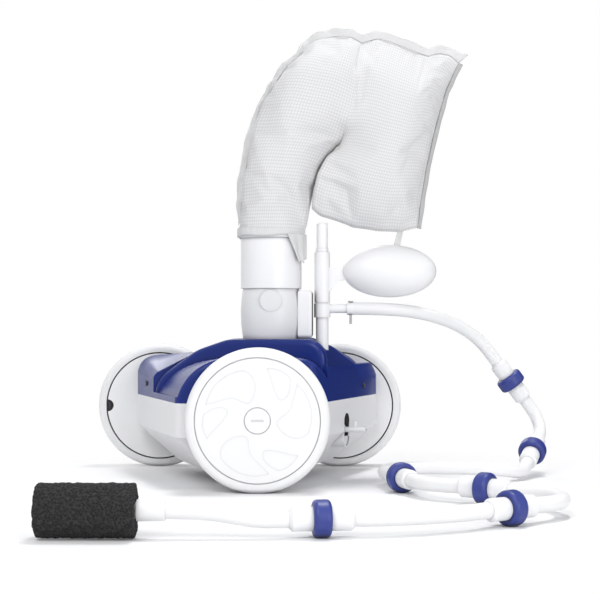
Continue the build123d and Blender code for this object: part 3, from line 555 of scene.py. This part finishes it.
def sew_panel(name, columns, rows, shape, facing, flat_size):
    panel = new_grid(name, columns, rows)
    seams = panel.vertex_groups.new(name="seams")
    for corner in panel.data.vertices:
        x, z, depth, shift = shape(corner.co.x + 0.5, corner.co.y + 0.5)
        seams.add([corner.index], 1.0 if depth < seam_depth or z < cuff_top else 0.0, "REPLACE")
        corner.co = (x / 1000, (facing * depth + shift) / 1000, z / 1000)
    for texel in panel.data.uv_layers[0].data:
        texel.uv = (texel.uv[0] * flat_size[0], texel.uv[1] * flat_size[1])
    return panel


leg_flat = (0.135, 0.290)
pouch_flat = (0.190, 0.255)
panels = [
    sew_panel("leg_near", leg_columns, leg_rows + upper_rows, leg_point, -1, leg_flat),
    sew_panel("leg_far", leg_columns, leg_rows + upper_rows, leg_point, 1, leg_flat),
    sew_panel("pouch_near", pouch_columns, pouch_rows + upper_rows, pouch_point, -1, pouch_flat),
    sew_panel("pouch_far", pouch_columns, pouch_rows + upper_rows, pouch_point, 1, pouch_flat),
]
bpy.ops.object.select_all(action="DESELECT")
for panel in panels:
    panel.select_set(True)
bpy.context.view_layer.objects.active = panels[0]
bpy.ops.object.join()
filter_bag = bpy.context.object
filter_bag.name = "filter_bag"
bpy.ops.object.mode_set(mode="EDIT")
bpy.ops.mesh.select_all(action="SELECT")
bpy.ops.mesh.remove_doubles(threshold=weld_gap)
bpy.ops.mesh.normals_make_consistent(inside=False)
bpy.ops.object.mode_set(mode="OBJECT")
print("bag faces", len(filter_bag.data.polygons))

# %% [markdown]
# Water pressure fills the bag when it works, and in the picture it still stands full. The
# cloth simulation blows it up a little while the seams stay where they are. The cloth is let
# out by a few percent first, so that it has more area than it needs and puckers at the seams.

# %% Blow the bag up
rest_place = [corner.co.copy() for corner in filter_bag.data.vertices]
pick(filter_bag)
cloth = filter_bag.modifiers.new("cloth", "CLOTH")
cloth.settings.quality = 6
cloth.settings.mass = 0.15
cloth.settings.tension_stiffness = 12
cloth.settings.compression_stiffness = 12
cloth.settings.shear_stiffness = 4
cloth.settings.bending_stiffness = 0.08
cloth.settings.vertex_group_mass = "seams"
cloth.settings.pin_stiffness = 1
cloth.settings.shrink_min = -0.05
cloth.settings.use_pressure = True
cloth.settings.uniform_pressure_force = 2.0
cloth.settings.effector_weights.gravity = 0
cloth.collision_settings.use_collision = False
for step in range(1, 25):
    scene.frame_set(step)
bpy.ops.object.modifier_apply(modifier="cloth")
scene.frame_set(1)
most_moved = 0.012
for corner, start in zip(filter_bag.data.vertices, rest_place):
    shift = corner.co - start
    if shift.length > most_moved:
        corner.co = start + shift * (most_moved / shift.length)
print("bag moved", round(max((c.co - s).length for c, s in zip(filter_bag.data.vertices, rest_place)), 4))

# %% Finish of the bag's cloth
pick(filter_bag)
bpy.ops.object.shade_smooth()
give_wall(filter_bag, 0.0010, 1)
soften = filter_bag.modifiers.new("soften", "SUBSURF")
soften.levels = 1
soften.render_levels = 1
bpy.ops.object.modifier_apply(modifier="soften")
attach(filter_bag, "bag_assembly")
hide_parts("bag")
print("bag triangles", sum(len(face.vertices) - 2 for face in filter_bag.data.polygons))

# %% [markdown]
# Outside the seam the two panels go on as a flat hem of about ten millimetres. Sewing gathers
# it, so it waves from side to side like a ruffle, up the leg and over the top to the corner.
# The pouch's rear edge has a narrow hem that is turned back, so it lies in its own shade, and its
# cloth is a darker grey as painted shade of that fold. Both are strips between two lines, so one
# helper makes them.

# %% Hems
def sew_hem(name, inner_line, outer_line, rows, wave, turned_back):
    hem = new_grid(name, 5, rows)
    for corner in hem.data.vertices:
        out = corner.co.x + 0.5
        share = corner.co.y + 0.5
        inner = walk(inner_line, share)
        outer = walk(outer_line, share)
        gather = noise.noise(Vector((share * rows * 0.14, 0.3, 0.7)))
        ruffle = wave * (gather + 0.25 * math.sin(share * rows * 0.63)) * ease(share, 0, 0.1)
        reach = out * (1 + 0.22 * noise.noise(Vector((share * rows * 0.2, 4.1, 0.7))))
        corner.co = (
            (inner[0] + (outer[0] - inner[0]) * reach) / 1000,
            (ruffle * out + turned_back * out) / 1000,
            (inner[1] + (outer[1] - inner[1]) * reach) / 1000,
        )
    for texel in hem.data.uv_layers[0].data:
        texel.uv = (texel.uv[0] * 0.012, texel.uv[1] * rows * 0.004)
    give_wall(hem, 0.0022, 0)
    bpy.ops.object.shade_smooth()
    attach(hem, "bag_assembly")
    return hem


hem_outer = [
    (-50.5, 340), (-53, 373), (-52, 399), (-47, 428), (-39, 466), (-26, 502), (-10, 531), (9, 562),
    (27, 573), (38, 590), (57, 603), (80, 608), (103, 607), (117, 600), (136, 606), (157, 601),
    (183, 590), (207, 581), (220, 586), (238, 583), (261, 572),
]
bag_hem = sew_hem("bag_hem", leg_seam[1:] + leg_top[1:] + pouch_top[1:], hem_outer, 150, 7, 0)
edge_outer = [(x + 5, z - 1) for x, z in pouch_edge]
edge_hem = sew_hem("edge_hem", pouch_edge, edge_outer, 60, 1.5, 6)
print("hem faces", len(bag_hem.data.polygons), len(edge_hem.data.polygons))

# %% [markdown]
# At its mouth the bag ends in a cuff, a doubled band that grips the collar. A cylinder without
# ends is cut into rings and its radius waves a little, as gathered cloth does. The spare end of
# the cuff's tie cloth hangs down on one side in soft pleats.

# %% Cuff and tie cloth
mouth_x = -0.006
cuff_low = 0.3245
cuff_high = 0.3365
bpy.ops.mesh.primitive_cylinder_add(vertices=96, radius=0.0452, depth=1, end_fill_type="NOTHING")
bag_cuff = bpy.context.object
bag_cuff.name = "bag_cuff"
bpy.ops.object.mode_set(mode="EDIT")
bpy.ops.mesh.select_all(action="SELECT")
bpy.ops.mesh.subdivide(number_cuts=3)
bpy.ops.object.mode_set(mode="OBJECT")
for corner in bag_cuff.data.vertices:
    angle = math.atan2(corner.co.y, corner.co.x)
    up = corner.co.z + 0.5
    gather = 0.0005 * math.sin(angle * 23 + 2 * math.sin(angle * 3)) * up
    radius = 0.0448 + 0.0004 * math.sin(up * math.pi) + gather
    edge = 0.0008 * math.sin(angle * 5 + 1)
    corner.co = (
        mouth_x + radius * math.cos(angle),
        radius * math.sin(angle),
        cuff_low + (cuff_high - cuff_low) * up + edge,
    )
give_wall(bag_cuff, 0.0009, 1)
bpy.ops.object.shade_smooth()
tie_cloth = new_grid("tie_cloth", 24, 18)
for corner in tie_cloth.data.vertices:
    across = corner.co.x + 0.5
    up = corner.co.y + 0.5
    left = -38 - 24 * up
    right = -8 + 10 * up
    angle = math.radians(left + (right - left) * across)
    pleat = 0.0016 * math.sin(across * 15 + 1.5 * (1 - up)) * (1.1 - 0.7 * up)
    radius = 0.0470 + pleat - 0.0002 * up
    foot = 0.288 + 0.006 * across + 0.002 * math.sin(across * 9)
    corner.co = (
        mouth_x + radius * math.cos(angle),
        radius * math.sin(angle),
        foot + (0.3275 - foot) * up,
    )
give_wall(tie_cloth, 0.0010, 0)
bpy.ops.object.shade_smooth()
for piece in (bag_cuff, tie_cloth):
    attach(piece, "bag_assembly")
print("cuff faces", len(bag_cuff.data.polygons))

# %% [markdown]
# A short webbing strap ties the pouch's foot to the float, so that the bag stands up in the
# water. It is a flat band that is wider than it is thick, with a slight twist in it.

# %% Strap
strap_low, strap_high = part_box("bag_strap")
strap_x = (strap_low[0] + strap_high[0]) / 2
strap_tuck = 0.009
strap_width = 0.0095
strap_span = strap_high[2] - strap_low[2] + strap_tuck
bag_strap = new_grid("webbing_strap", 6, 16)
for corner in bag_strap.data.vertices:
    across = corner.co.x
    up = corner.co.y + 0.5
    turn = math.radians(20 + 25 * up)
    corner.co = (
        strap_x - 0.003 + 0.006 * up + across * strap_width * math.cos(turn),
        across * strap_width * math.sin(turn),
        strap_low[2] + strap_span * up,
    )
give_wall(bag_strap, 0.0014, 0)
strap_edge = bag_strap.modifiers.new("strap_edge", "BEVEL")
strap_edge.width = 0.0004
strap_edge.segments = 2
bpy.ops.object.modifier_apply(modifier="strap_edge")
bpy.ops.object.shade_smooth()
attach(bag_strap, "bag_assembly")
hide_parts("bag_strap")
print("strap", round(strap_span, 4))

# %% [markdown]
# Moulded plastic is never quite even: it has a faint grain from its mould and a slow cloud in its
# gloss. In corners and creases its colour is darkened towards the corner colour, as painted
# shade. One node group makes these for all the plastics.

# %% Moulded surface group
moulded = bpy.data.node_groups.new("moulded_surface", "ShaderNodeTree")
for label, kind, value in (
    ("Colour", "NodeSocketColor", (0.8, 0.8, 0.8, 1)),
    ("Corner Colour", "NodeSocketColor", (0.5, 0.5, 0.5, 1)),
    ("Roughness", "NodeSocketFloat", 0.3),
    ("Grain Scale", "NodeSocketFloat", 900.0),
):
    socket = moulded.interface.new_socket(name=label, in_out="INPUT", socket_type=kind)
    socket.default_value = value
for label, kind in (
    ("Colour", "NodeSocketColor"),
    ("Roughness", "NodeSocketFloat"),
    ("Height", "NodeSocketFloat"),
):
    moulded.interface.new_socket(name=label, in_out="OUTPUT", socket_type=kind)
group_in = moulded.nodes.new("NodeGroupInput")
group_out = moulded.nodes.new("NodeGroupOutput")
group_place = moulded.nodes.new("ShaderNodeTexCoord")
slow_cloud = moulded.nodes.new("ShaderNodeTexNoise")
slow_cloud.inputs["Scale"].default_value = 14
slow_cloud.inputs["Detail"].default_value = 3
fine_grain = moulded.nodes.new("ShaderNodeTexNoise")
fine_grain.inputs["Detail"].default_value = 2
# Ambient occlusion finds corners and creases, where the colour turns to the corner colour: painted shade.
corner_shade = moulded.nodes.new("ShaderNodeAmbientOcclusion")
corner_shade.samples = 6
corner_shade.inputs["Distance"].default_value = 0.006
corner_shade_range = add_range(moulded.nodes, 0.35, 0.95, 1, 0)
corner_shade_mix = moulded.nodes.new("ShaderNodeMix")
corner_shade_mix.data_type = "RGBA"
cloud_shift = add_range(moulded.nodes, 0, 1, -0.05, 0.05)
rough_sum = add_step(moulded.nodes, "ShaderNodeMath", "ADD")
links = moulded.links
links.new(group_place.outputs["Object"], slow_cloud.inputs["Vector"])
links.new(group_place.outputs["Object"], fine_grain.inputs["Vector"])
links.new(group_in.outputs["Grain Scale"], fine_grain.inputs["Scale"])
links.new(corner_shade.outputs["AO"], corner_shade_range.inputs["Value"])
links.new(corner_shade_range.outputs["Result"], corner_shade_mix.inputs["Factor"])
links.new(group_in.outputs["Colour"], corner_shade_mix.inputs["A"])
links.new(group_in.outputs["Corner Colour"], corner_shade_mix.inputs["B"])
links.new(corner_shade_mix.outputs["Result"], group_out.inputs["Colour"])
links.new(slow_cloud.outputs["Fac"], cloud_shift.inputs["Value"])
links.new(cloud_shift.outputs["Result"], rough_sum.inputs[0])
links.new(group_in.outputs["Roughness"], rough_sum.inputs[1])
links.new(rough_sum.outputs["Value"], group_out.inputs["Roughness"])
links.new(fine_grain.outputs["Fac"], group_out.inputs["Height"])
print("group", moulded.name)


# %% [markdown]
# The plastics differ in colour, gloss and grain. White shell plastic is glossy, the tub is a
# matt light grey, tyres and hose are soft and dull, and the cover is a deep blue under a clear
# gloss, as a tinted plastic looks when light only gets a little way in.

# %% Plastics
def moulded_finish(name, colour, corner_colour, roughness, grain, bump, gloss):
    material, parts, wires, shader = start_material(name)
    surface = parts.new("ShaderNodeGroup")
    surface.node_tree = moulded
    surface.inputs["Colour"].default_value = (*colour, 1)
    surface.inputs["Corner Colour"].default_value = (*corner_colour, 1)
    surface.inputs["Roughness"].default_value = roughness
    surface.inputs["Grain Scale"].default_value = grain
    relief = parts.new("ShaderNodeBump")
    relief.inputs["Strength"].default_value = bump
    relief.inputs["Distance"].default_value = 0.0004
    wires.new(surface.outputs["Colour"], shader.inputs["Base Color"])
    wires.new(surface.outputs["Roughness"], shader.inputs["Roughness"])
    wires.new(surface.outputs["Height"], relief.inputs["Height"])
    wires.new(relief.outputs["Normal"], shader.inputs["Normal"])
    shader.inputs["Specular IOR Level"].default_value = gloss
    return material


white_plastic = moulded_finish(
    "white_plastic", (0.84, 0.84, 0.85), (0.55, 0.55, 0.57), 0.30, 700, 0.04, 0.5
)
wheel_plastic = moulded_finish(
    "wheel_plastic", (0.84, 0.84, 0.845), (0.66, 0.66, 0.67), 0.34, 700, 0.04, 0.4
)
tub_plastic = moulded_finish(
    "tub_plastic", (0.79, 0.79, 0.80), (0.36, 0.36, 0.38), 0.42, 900, 0.08, 0.4
)
frame_plastic = moulded_finish(
    "frame_plastic", (0.86, 0.86, 0.865), (0.40, 0.40, 0.42), 0.40, 900, 0.07, 0.4
)
tower_plastic = moulded_finish(
    "tower_plastic", (0.77, 0.77, 0.775), (0.45, 0.45, 0.47), 0.30, 700, 0.04, 0.5
)
tyre_rubber = moulded_finish(
    "tyre_rubber", (0.82, 0.82, 0.825), (0.46, 0.46, 0.48), 0.55, 1100, 0.10, 0.35
)
hose_skin = moulded_finish(
    "hose_skin", (0.82, 0.82, 0.825), (0.50, 0.50, 0.52), 0.52, 800, 0.015, 0.35
)
ring_plastic = moulded_finish(
    "ring_plastic", (0.030, 0.046, 0.235), (0.010, 0.014, 0.08), 0.38, 800, 0.06, 0.4
)
cover_blue = moulded_finish(
    "cover_blue", (0.010, 0.026, 0.185), (0.004, 0.008, 0.07), 0.24, 500, 0.03, 0.22
)
# The sweep adjuster is a small white lever; its mid grey is painted shade.
adjuster_shade_grey = moulded_finish(
    "adjuster_shade_grey", (0.40, 0.40, 0.41), (0.12, 0.12, 0.13), 0.40, 800, 0.05, 0.4
)
manifold_plastic = moulded_finish(
    "manifold_plastic", (0.84, 0.84, 0.85), (0.55, 0.55, 0.57), 0.30, 700, 0.04, 0.5
)
# A dark plastic for the cover screws; the same finish is used further down as painted shade in the jet's
# throat and inside the wheels.
dark_plastic_and_shade = moulded_finish(
    "dark_plastic_and_shade", (0.05, 0.05, 0.055), (0.02, 0.02, 0.02), 0.45, 800, 0.06, 0.3
)
print("plastics", len([m for m in bpy.data.materials if m.use_nodes]))

# %% [markdown]
# The manifold's rear side, where it meets the mast, lies in shade and shows as a thin dark line
# down its rear edge. That shade is painted: the colour changes by place, and all that lies further
# back than a set depth is nearly black.

# %% Painted shade on the manifold's rear side
rear_shade_x = 0.0488
rear_shade_nodes = manifold_plastic.node_tree.nodes
rear_shade_links = manifold_plastic.node_tree.links
rear_shade_place = rear_shade_nodes.new("ShaderNodeTexCoord")
rear_shade_split = rear_shade_nodes.new("ShaderNodeSeparateXYZ")
rear_shade_step = add_step(rear_shade_nodes, "ShaderNodeMath", "GREATER_THAN")
rear_shade_step.inputs[1].default_value = rear_shade_x
rear_shade_mix = rear_shade_nodes.new("ShaderNodeMix")
rear_shade_mix.data_type = "RGBA"
# Nearly black: painted shade of the manifold's rear side.
rear_shade_mix.inputs["B"].default_value = (0.035, 0.035, 0.038, 1)
manifold_group = next(node for node in rear_shade_nodes if node.type == "GROUP")
rear_shade_links.new(rear_shade_place.outputs["Object"], rear_shade_split.inputs["Vector"])
rear_shade_links.new(rear_shade_split.outputs["X"], rear_shade_step.inputs[0])
rear_shade_links.new(rear_shade_step.outputs["Value"], rear_shade_mix.inputs["Factor"])
rear_shade_links.new(manifold_group.outputs["Colour"], rear_shade_mix.inputs["A"])
rear_shade_links.new(rear_shade_mix.outputs["Result"], rear_shade_nodes["Principled BSDF"].inputs["Base Color"])

# %% Steel
steel, steel_nodes, steel_links, steel_shader = start_material("brushed_steel")
steel_shader.inputs["Metallic"].default_value = 1
steel_shader.inputs["Base Color"].default_value = (0.62, 0.63, 0.65, 1)
steel_place = steel_nodes.new("ShaderNodeTexCoord")
steel_grain = steel_nodes.new("ShaderNodeTexNoise")
steel_grain.inputs["Scale"].default_value = 500
steel_range = add_range(steel_nodes, 0, 1, 0.22, 0.40)
steel_links.new(steel_place.outputs["Object"], steel_grain.inputs["Vector"])
steel_links.new(steel_grain.outputs["Fac"], steel_range.inputs["Value"])
steel_links.new(steel_range.outputs["Result"], steel_shader.inputs["Roughness"])

# %% [markdown]
# Foam scatters light in its open cells and looks black, with a fine grey sparkle on the cell
# walls. A small cell pattern sets both the colour and the bumps.

# %% Foam
black_foam, foam_nodes, foam_links, foam_shader = start_material("black_foam")
foam_place = foam_nodes.new("ShaderNodeTexCoord")
foam_cells = foam_nodes.new("ShaderNodeTexVoronoi")
foam_cells.inputs["Scale"].default_value = 420
foam_tone = foam_nodes.new("ShaderNodeValToRGB")
foam_tone.color_ramp.elements[0].color = (0.008, 0.008, 0.008, 1)
foam_tone.color_ramp.elements[1].color = (0.044, 0.044, 0.045, 1)
foam_relief = foam_nodes.new("ShaderNodeBump")
foam_relief.inputs["Strength"].default_value = 0.8
foam_relief.inputs["Distance"].default_value = 0.0012
foam_shader.inputs["Roughness"].default_value = 0.95
foam_shader.inputs["Specular IOR Level"].default_value = 0.2
foam_links.new(foam_place.outputs["Object"], foam_cells.inputs["Vector"])
foam_links.new(foam_cells.outputs["Distance"], foam_tone.inputs["Fac"])
foam_links.new(foam_tone.outputs["Color"], foam_shader.inputs["Base Color"])
foam_links.new(foam_cells.outputs["Distance"], foam_relief.inputs["Height"])
foam_links.new(foam_relief.outputs["Normal"], foam_shader.inputs["Normal"])
foam_sleeve.data.materials.append(black_foam)

# %% [markdown]
# The bag's cloth is an open mesh. Threads cross at right angles about every four millimetres
# in the coarse grid that the eye sees, and the cloth between them is a finer weave. Both come
# from sine waves on the cloth's own flat pattern, so they follow it round every fold. Hems and
# cuff are of a closer cloth without the coarse grid.

# %% Woven cloth
fine_pitch = 0.0012


def wave_of(parts, wires, socket, axis, pitch):
    """Height of the threads that run along one direction, from 0 in the gap to 1 on the thread."""
    split = parts.new("ShaderNodeSeparateXYZ")
    turn = add_step(parts, "ShaderNodeMath", "MULTIPLY")
    turn.inputs[1].default_value = math.pi / pitch
    wave = add_step(parts, "ShaderNodeMath", "SINE")
    height = add_step(parts, "ShaderNodeMath", "ABSOLUTE")
    wires.new(socket, split.inputs["Vector"])
    wires.new(split.outputs[axis], turn.inputs[0])
    wires.new(turn.outputs["Value"], wave.inputs[0])
    wires.new(wave.outputs["Value"], height.inputs[0])
    return height.outputs["Value"]


def grid_of(parts, wires, socket, pitch):
    crossing = add_step(parts, "ShaderNodeMath", "MULTIPLY")
    wires.new(wave_of(parts, wires, socket, "X", pitch), crossing.inputs[0])
    wires.new(wave_of(parts, wires, socket, "Y", pitch), crossing.inputs[1])
    return crossing.outputs["Value"]


def woven_finish(name, pitch, gap_tone, thread_tone, bump):
    material, parts, wires, shader = start_material(name)
    flat_place = parts.new("ShaderNodeUVMap")
    coarse = grid_of(parts, wires, flat_place.outputs["UV"], pitch)
    fine = grid_of(parts, wires, flat_place.outputs["UV"], fine_pitch)
    both = add_step(parts, "ShaderNodeMath", "ADD")
    wires.new(coarse, both.inputs[0])
    wires.new(fine, both.inputs[1])
    tone = parts.new("ShaderNodeValToRGB")
    tone.color_ramp.elements[0].position = 0.05
    tone.color_ramp.elements[0].color = (gap_tone, gap_tone, gap_tone, 1)
    tone.color_ramp.elements[1].position = 0.75
    tone.color_ramp.elements[1].color = (thread_tone, thread_tone, thread_tone, 1)
    relief = parts.new("ShaderNodeBump")
    relief.inputs["Strength"].default_value = bump
    relief.inputs["Distance"].default_value = 0.0005
    shader.inputs["Roughness"].default_value = 0.8
    shader.inputs["Sheen Weight"].default_value = 0.1
    shader.inputs["Specular IOR Level"].default_value = 0.25
    wires.new(coarse, tone.inputs["Fac"])
    wires.new(tone.outputs["Color"], shader.inputs["Base Color"])
    wires.new(both.outputs["Value"], relief.inputs["Height"])
    wires.new(relief.outputs["Normal"], shader.inputs["Normal"])
    return material


mesh_cloth = woven_finish("mesh_cloth", 0.0042, 0.62, 0.74, 0.22)
hem_cloth = woven_finish("hem_cloth", 0.0016, 0.65, 0.71, 0.15)
# The turned-back edge hem's darker cloth is painted shade of its fold.
edge_shade_cloth = woven_finish("edge_shade_cloth", 0.0016, 0.48, 0.54, 0.15)
for piece, cloth_finish in (
    (filter_bag, mesh_cloth),
    (bag_hem, hem_cloth),
    (edge_hem, edge_shade_cloth),
    (bag_cuff, hem_cloth),
    (tie_cloth, hem_cloth),
    (bag_strap, hem_cloth),
):
    piece.data.materials.clear()
    piece.data.materials.append(cloth_finish)
print("cloths", mesh_cloth.name, hem_cloth.name, edge_shade_cloth.name)

# %% Put the finishes on
steel_nodes_of_part = ("axle_screws", "frame_screws", "drive_shaft")
finish_of = {
    "base_tub": tub_plastic,
    "top_cover": cover_blue,
    "vacuum_tube": tower_plastic,
    "manifold": manifold_plastic,
    "sweep_adjuster": adjuster_shade_grey,
    "single_side_frame": frame_plastic,
    "double_side_frame": frame_plastic,
    "wear_rings": ring_plastic,
    "cover_screws": dark_plastic_and_shade,
}
for name, node in nodes.items():
    finish = finish_of.get(name, white_plastic)
    if name.endswith("tyre"):
        finish = tyre_rubber
    if name.endswith("wheel_disc"):
        finish = wheel_plastic
    if name in steel_nodes_of_part:
        finish = steel
    if name.startswith("hose_joiner") or name == "tail_cuff":
        finish = hose_skin
    node.data.materials.clear()
    node.data.materials.append(finish)
hose_line.materials.append(hose_skin)
print("finishes set")

# %% [markdown]
# Some places are painted dark although their piece is white, as painted shade where no light
# reaches: the throat of the jet behind its white tongue, and the inside of the wheels behind
# their shields. Their faces get a second, dark finish. A face belongs to the throat when it lies
# behind the rim and looks at the middle of the slot. A wheel's inside looks inwards, to the body
# or to the axle.

# %% Painted shade in the throat of the jet and inside the wheels
jet_rim = Vector((0.09576, -0.01493, 0.066))
jet_outward = Vector((0.9435, -0.3313, 0))
rim_depth = 0.0012
throat_depth = 0.006
jet_housing = nodes["jet_housing"]
jet_housing.data.materials.append(dark_plastic_and_shade)
throat_faces = 0
for face in jet_housing.data.polygons:
    depth = (face.center - jet_rim).dot(jet_outward)
    aside = face.center - jet_rim - jet_outward * depth
    looks_in = face.normal.dot(aside) < -0.3 * aside.length and depth < -rim_depth
    is_floor = face.normal.dot(jet_outward) > 0.7 and depth < -throat_depth
    # Faces of the throat get the dark finish: painted shade.
    if looks_in or is_floor:
        face.material_index = 1
        throat_faces += 1
print("throat faces", throat_faces, "of", len(jet_housing.data.polygons))
hub_radius = 0.030
face_skin = 0.0025
for side in ("single", "front", "rear"):
    wheel_disc = nodes[f"{side}_wheel_disc"]
    wheel_disc.data.materials.append(dark_plastic_and_shade)
    disc_low, disc_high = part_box(f"{side}_wheel_disc")
    axle = Vector(((disc_low[0] + disc_high[0]) / 2, 0, (disc_low[2] + disc_high[2]) / 2))
    outer_face = max(abs(disc_low[1]), abs(disc_high[1]))
    inward = -1 if disc_low[1] > 0 else 1
    for face in wheel_disc.data.polygons:
        spoke = Vector((face.center.x - axle.x, 0, face.center.z - axle.z))
        behind = abs(face.center.y) < outer_face - face_skin
        looks_in = face.normal.y * inward > 0.5 or face.normal.dot(spoke) < -0.5 * spoke.length
        # Faces inside the wheel get the dark finish: painted shade.
        if behind and looks_in and spoke.length > hub_radius:
            face.material_index = 1
